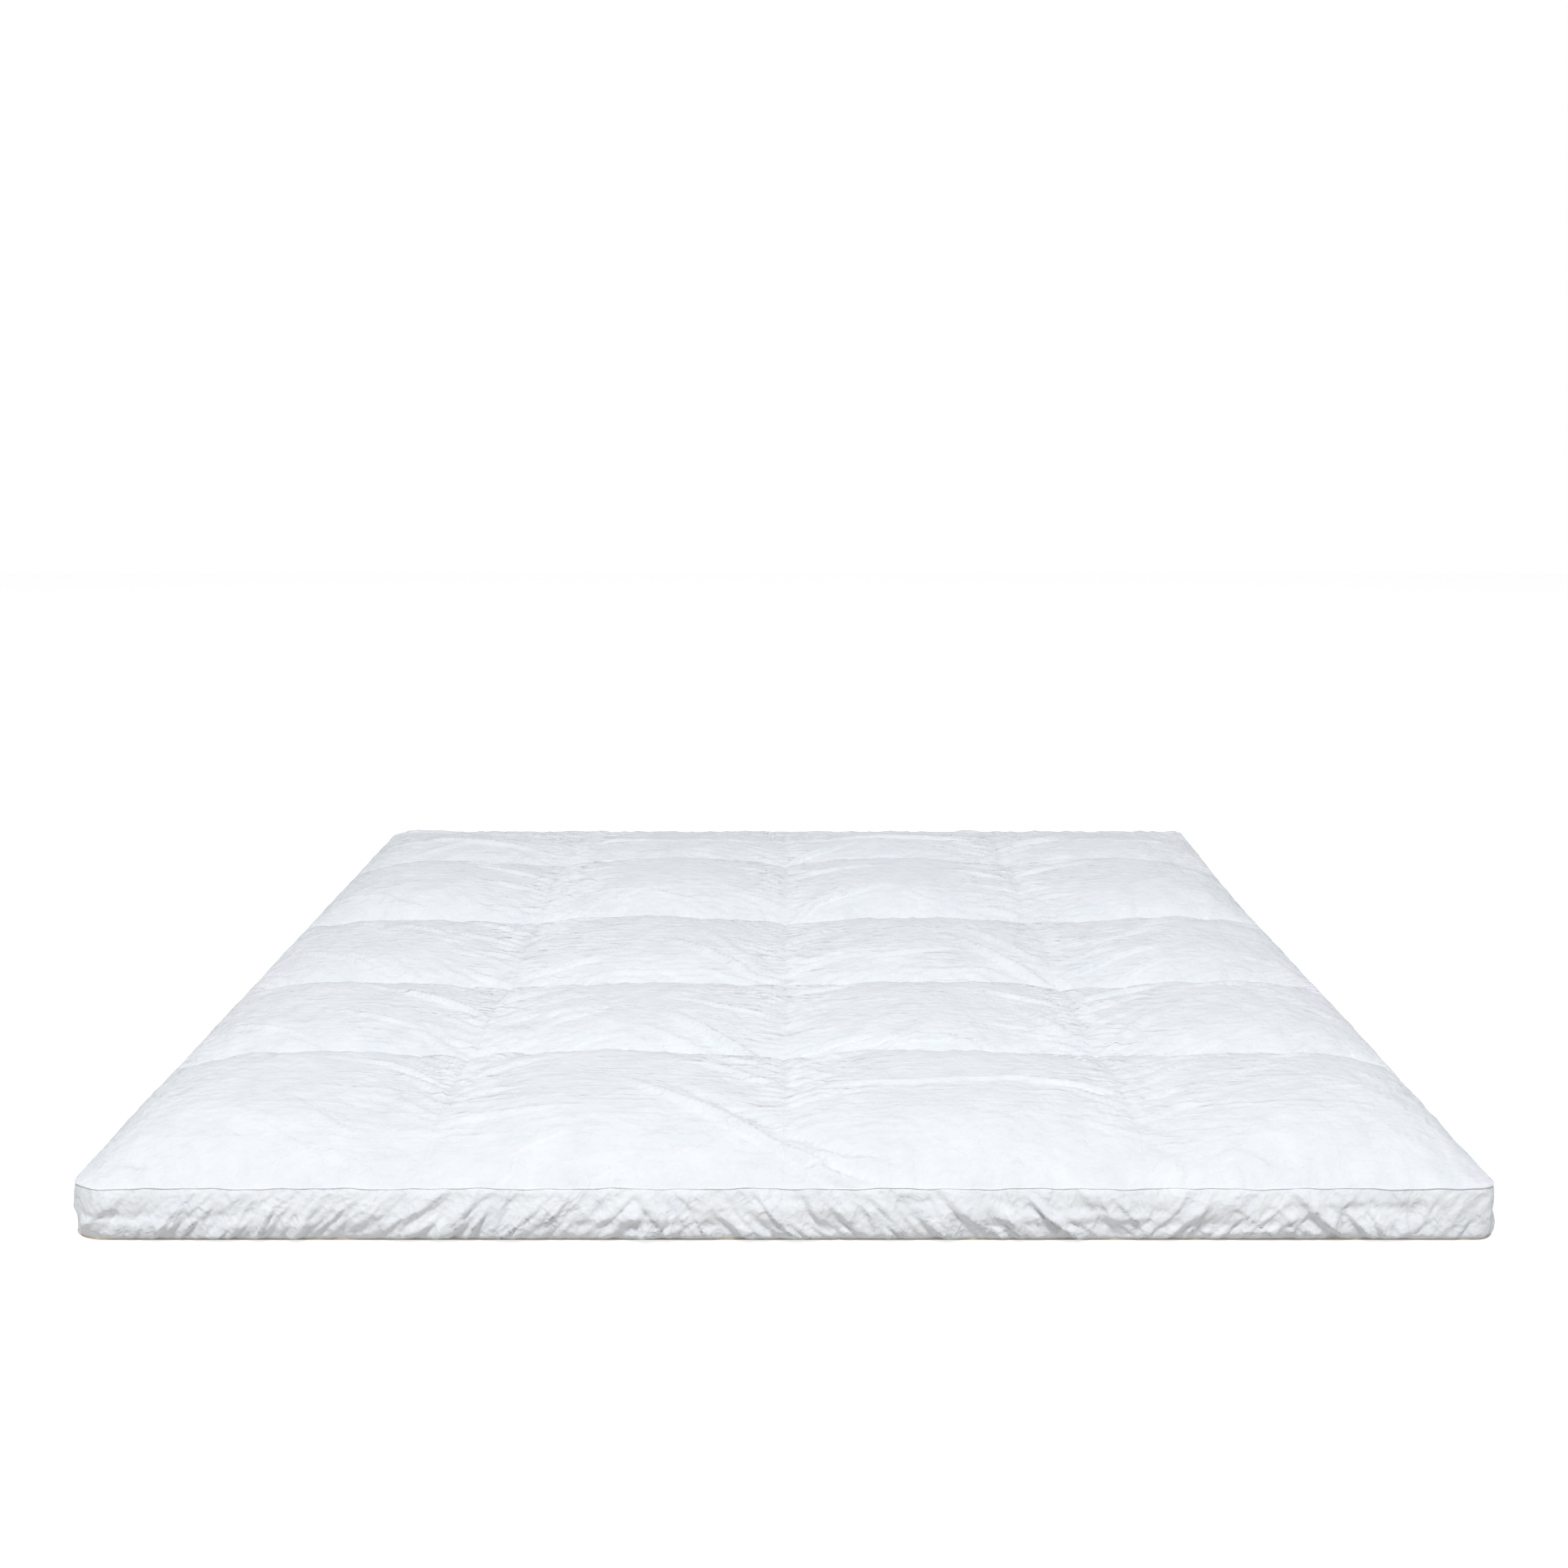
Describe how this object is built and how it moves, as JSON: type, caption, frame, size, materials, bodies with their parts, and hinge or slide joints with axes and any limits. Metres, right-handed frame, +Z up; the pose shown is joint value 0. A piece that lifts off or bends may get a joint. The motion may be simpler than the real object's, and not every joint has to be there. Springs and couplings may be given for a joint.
{
  "type": "futon mattress",
  "caption": "Flat feather-filled futon mattress with a boxed edge, quilted into puffed square chambers, in plain white cotton.",
  "frame": {"origin": "on the floor under the middle of the mattress", "axes": "+Z up, +Y along the bed away from its foot end, +X across the bed to the right as seen from the foot end"},
  "size_m": [1.612, 2.0118, 0.109],
  "materials": {
    "ticking": "white down-proof cotton cambric, matt with a faint calendered sheen",
    "piping": "white bias-cut cotton strip round a cord, matt",
    "piping_cord": "undyed twisted cotton cord",
    "baffle_cloth": "light plain-woven white cotton",
    "feather_fill": "loose small feathers and down",
    "thread": "white spun polyester sewing thread"
  },
  "bodies": {
    "root": {"bottom_panel": "ticking", "top_panel": "ticking", "gusset_front": "ticking", "gusset_right": "ticking", "gusset_back": "ticking", "gusset_left": "ticking", "top_piping": "piping", "top_piping_cord": "piping_cord", "bottom_piping": "piping", "bottom_piping_cord": "piping_cord", "quilting_thread": "thread", "column_baffle_1": "baffle_cloth", "column_baffle_2": "baffle_cloth", "column_baffle_3": "baffle_cloth", "row_baffle_1_1": "baffle_cloth", "row_baffle_1_2": "baffle_cloth", "row_baffle_1_3": "baffle_cloth", "row_baffle_1_4": "baffle_cloth", "row_baffle_2_1": "baffle_cloth", "row_baffle_2_2": "baffle_cloth", "row_baffle_2_3": "baffle_cloth", "row_baffle_2_4": "baffle_cloth", "row_baffle_3_1": "baffle_cloth", "row_baffle_3_2": "baffle_cloth", "row_baffle_3_3": "baffle_cloth", "row_baffle_3_4": "baffle_cloth", "row_baffle_4_1": "baffle_cloth", "row_baffle_4_2": "baffle_cloth", "row_baffle_4_3": "baffle_cloth", "row_baffle_4_4": "baffle_cloth", "feather_fill_1_1": "feather_fill", "feather_fill_1_2": "feather_fill", "feather_fill_1_3": "feather_fill", "feather_fill_1_4": "feather_fill", "feather_fill_2_1": "feather_fill", "feather_fill_2_2": "feather_fill", "feather_fill_2_3": "feather_fill", "feather_fill_2_4": "feather_fill", "feather_fill_3_1": "feather_fill", "feather_fill_3_2": "feather_fill", "feather_fill_3_3": "feather_fill", "feather_fill_3_4": "feather_fill", "feather_fill_4_1": "feather_fill", "feather_fill_4_2": "feather_fill", "feather_fill_4_3": "feather_fill", "feather_fill_4_4": "feather_fill", "feather_fill_5_1": "feather_fill", "feather_fill_5_2": "feather_fill", "feather_fill_5_3": "feather_fill", "feather_fill_5_4": "feather_fill"}
  },
  "joints": []
}
